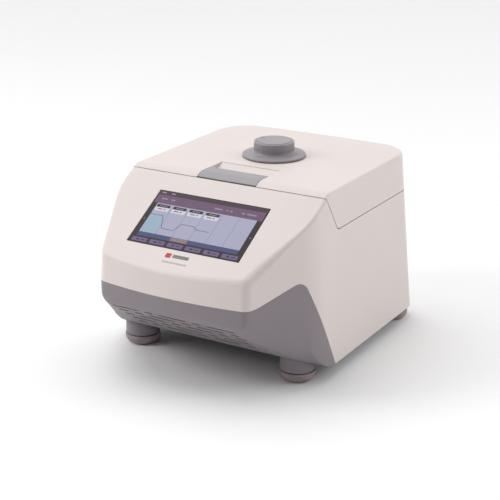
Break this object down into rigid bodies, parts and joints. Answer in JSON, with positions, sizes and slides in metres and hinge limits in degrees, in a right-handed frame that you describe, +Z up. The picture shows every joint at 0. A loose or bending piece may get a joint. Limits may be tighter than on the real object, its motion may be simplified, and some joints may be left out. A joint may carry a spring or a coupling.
{
  "type": "thermal cycler",
  "caption": "Bench thermal cycler with a sloping touch display, a hinged lid with a latch and a pressure knob, a well block, and vented legs at the front.",
  "frame": {"origin": "on the bench, under the centre of the bounding box", "axes": "+Z up, -Y towards the display and the user, +X to the right of someone facing the display"},
  "size_m": [0.3, 0.38, 0.25],
  "materials": {
    "white_plastic": "fine-textured moulded plastic",
    "grey_plastic": "fine-textured moulded plastic",
    "knob_plastic": "satin moulded plastic",
    "latch_plastic": "satin moulded plastic",
    "foot_rubber": "matt rubber",
    "display_glass": "glossy cover glass",
    "black_plastic": "matt black plastic",
    "aluminium": "machined",
    "steel": "plated",
    "panel_steel": "powder coated",
    "brass": "bright",
    "ceramic": "matt",
    "board": "solder mask",
    "fuse_glass": "clear"
  },
  "bodies": {
    "housing": {"main_housing": "white_plastic", "base_tray": "grey_plastic", "bottom_plate": "steel", "latch_striker": "steel", "hinge_leaf_right": "steel", "hinge_leaf_left": "steel", "hinge_pin_right": "steel", "hinge_pin_left": "steel", "hinge_screws": "steel", "sample_block": "aluminium", "block_frame": "black_plastic", "peltier_modules": "ceramic", "heatsink": "aluminium", "air_duct": "steel", "fan_frame_right": "black_plastic", "fan_frame_left": "black_plastic", "fan_screws": "steel", "rear_panel": "panel_steel", "power_inlet": "black_plastic", "inlet_pins": "brass", "rocker_pin": "steel", "usb_port": "steel", "display_glass": "display_glass", "display_module": "black_plastic", "display_bracket": "steel", "main_board": "board", "board_parts": "black_plastic", "board_standoffs": "brass", "power_supply": "steel", "foot_front_right": "foot_rubber", "foot_front_left": "foot_rubber", "foot_rear_right": "foot_rubber", "foot_rear_left": "foot_rubber", "base_screws": "steel"},
    "lid": {"lid_cover": "white_plastic", "lid_liner": "black_plastic", "latch_pin": "steel", "knob_bush": "brass", "hinge_arm_right": "steel", "hinge_arm_left": "steel"},
    "latch": {"lid_latch": "latch_plastic", "latch_spring": "steel"},
    "knob": {"pressure_knob": "knob_plastic", "knob_cap": "knob_plastic", "lead_screw": "steel"},
    "plate": {"heated_plate": "aluminium", "plate_carrier": "black_plastic", "guide_pins": "steel"},
    "right_rotor": {"fan_rotor_right": "black_plastic"},
    "left_rotor": {"fan_rotor_left": "black_plastic"},
    "rocker": {"power_rocker": "black_plastic"},
    "drawer": {"fuse_drawer": "black_plastic", "fuses": "fuse_glass"}
  },
  "joints": [
    {"name": "lid_hinge", "type": "hinge", "parent": "housing", "child": "lid", "pos_m": [0, 0.183, 0.1825], "axis": [-1, 0, 0], "range_deg": [0, 75]},
    {"name": "latch_pivot", "type": "hinge", "parent": "lid", "child": "latch", "pos_m": [0, -0.0505, 0.2195], "axis": [1, 0, 0], "range_deg": [0, 15], "stiffness_Nm_per_rad": 0.12, "springref_deg": -20.05},
    {"name": "knob_turn", "type": "hinge", "parent": "lid", "child": "knob", "pos_m": [0, 0.0615, 0.23], "axis": [0, 0, -1], "range_deg": [0, 540]},
    {"name": "plate_slide", "type": "slide", "parent": "lid", "child": "plate", "axis": [0, 0, -1], "range_m": [0, 0.0061]},
    {"name": "right_fan_spin", "type": "hinge", "parent": "housing", "child": "right_rotor", "pos_m": [0.036, 0.176, 0.132], "axis": [0, 1, 0], "continuous": true},
    {"name": "left_fan_spin", "type": "hinge", "parent": "housing", "child": "left_rotor", "pos_m": [-0.036, 0.176, 0.132], "axis": [0, 1, 0], "continuous": true},
    {"name": "rocker_tilt", "type": "hinge", "parent": "housing", "child": "rocker", "pos_m": [-0.064, 0.182, 0.084], "axis": [1, 0, 0], "range_deg": [0, 18]},
    {"name": "drawer_slide", "type": "slide", "parent": "housing", "child": "drawer", "axis": [0, 1, 0], "range_m": [0, 0.021]}
  ],
  "couplings": [
    {"joint": "plate_slide", "follows": "knob_turn", "m_per_rad": 0.00063662}
  ]
}
